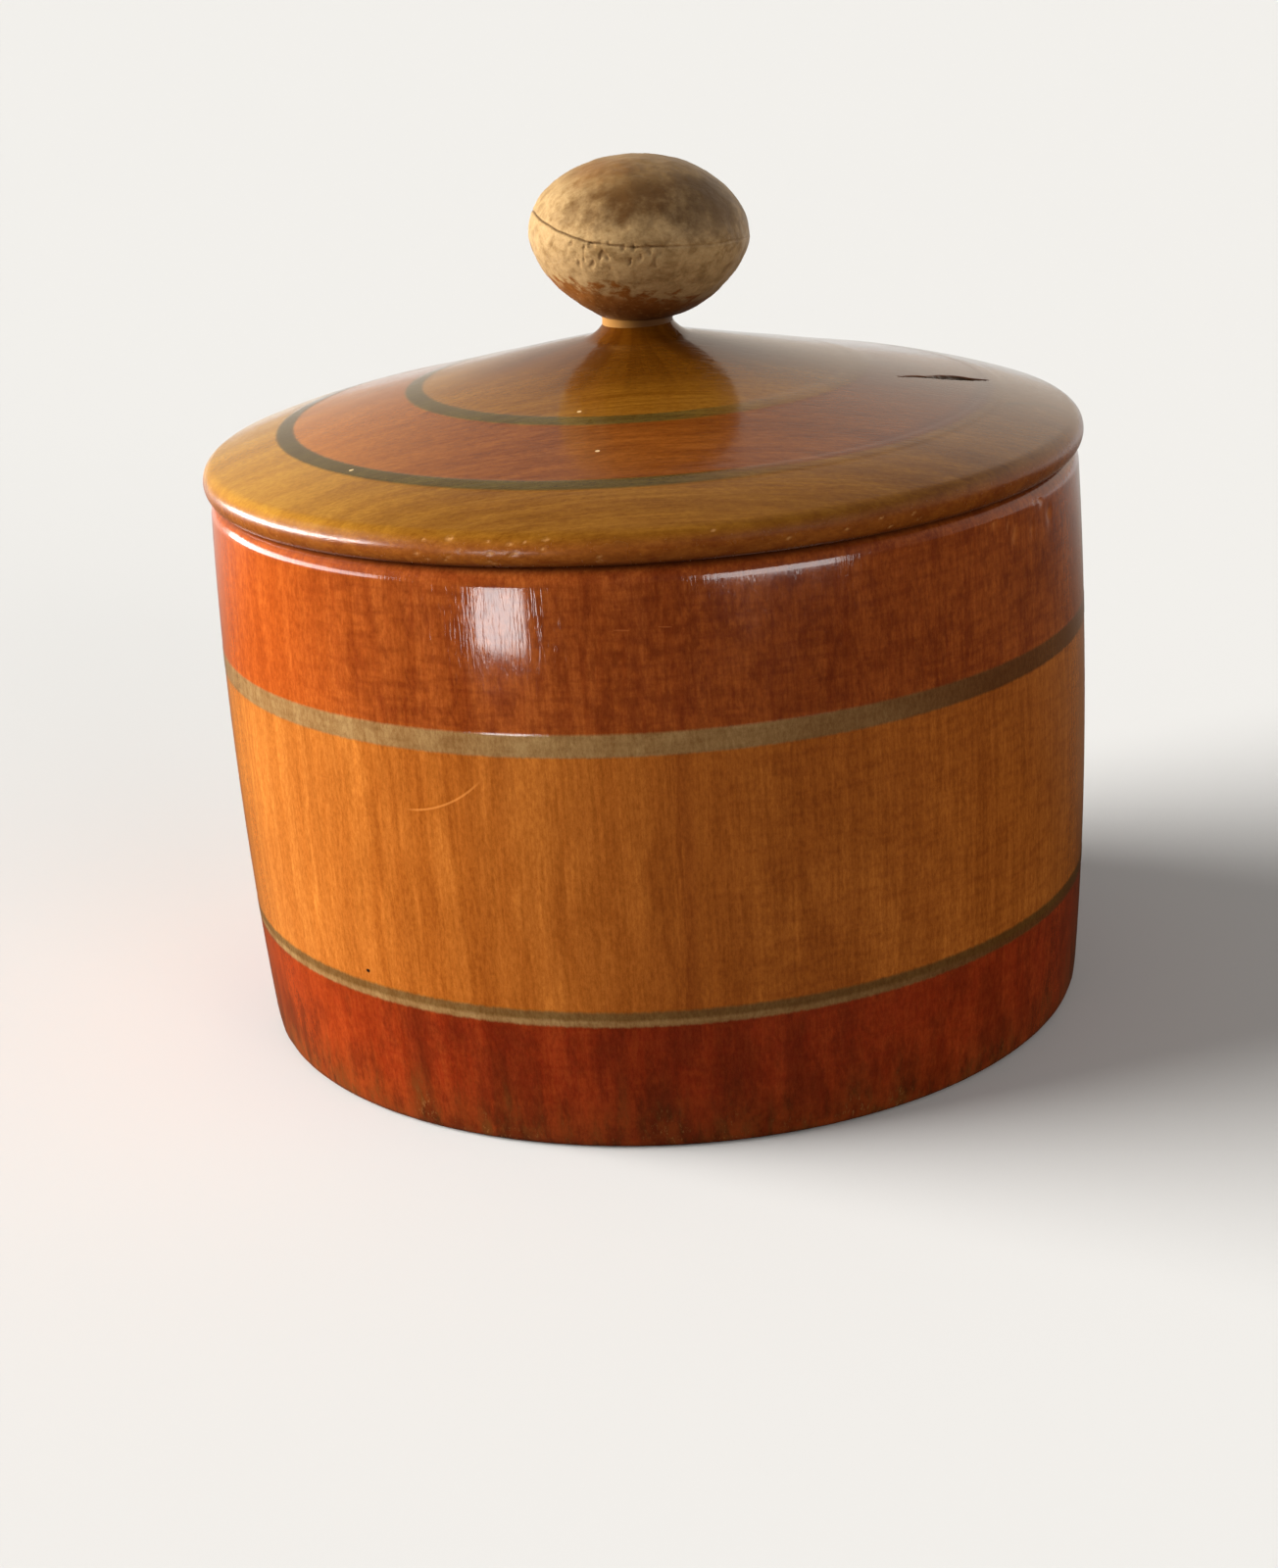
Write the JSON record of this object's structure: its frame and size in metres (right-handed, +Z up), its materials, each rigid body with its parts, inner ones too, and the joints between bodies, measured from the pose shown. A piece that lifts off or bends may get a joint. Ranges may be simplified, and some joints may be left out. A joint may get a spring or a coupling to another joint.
{
  "type": "wooden powder jar",
  "caption": "Round turned wooden powder jar with a bulged body in stained bands and a lift-off lid with an egg-shaped finger knob.",
  "frame": {"origin": "centre of the foot, on the surface that the jar stands on", "axes": "+Z up along the turning axis; X and Y are level, and the turned shape is the same all round"},
  "size_m": [0.1, 0.1, 0.0978],
  "materials": {
    "body_wood": "red-brown and yellow stained bands with olive lines under a worn gloss lacquer",
    "lid_wood": "olive-yellow and red-brown stained rings with dark olive lines under a gloss lacquer",
    "knob_wood": "bare tan wood with worn patches of brown lacquer"
  },
  "bodies": {
    "jar": {"body": "body_wood"},
    "cover": {"lid": "lid_wood", "knob": "knob_wood"}
  },
  "joints": [
    {"name": "lid_lift", "type": "slide", "parent": "jar", "child": "cover", "axis": [0, 0, 1], "range_m": [0, 0.1]}
  ]
}
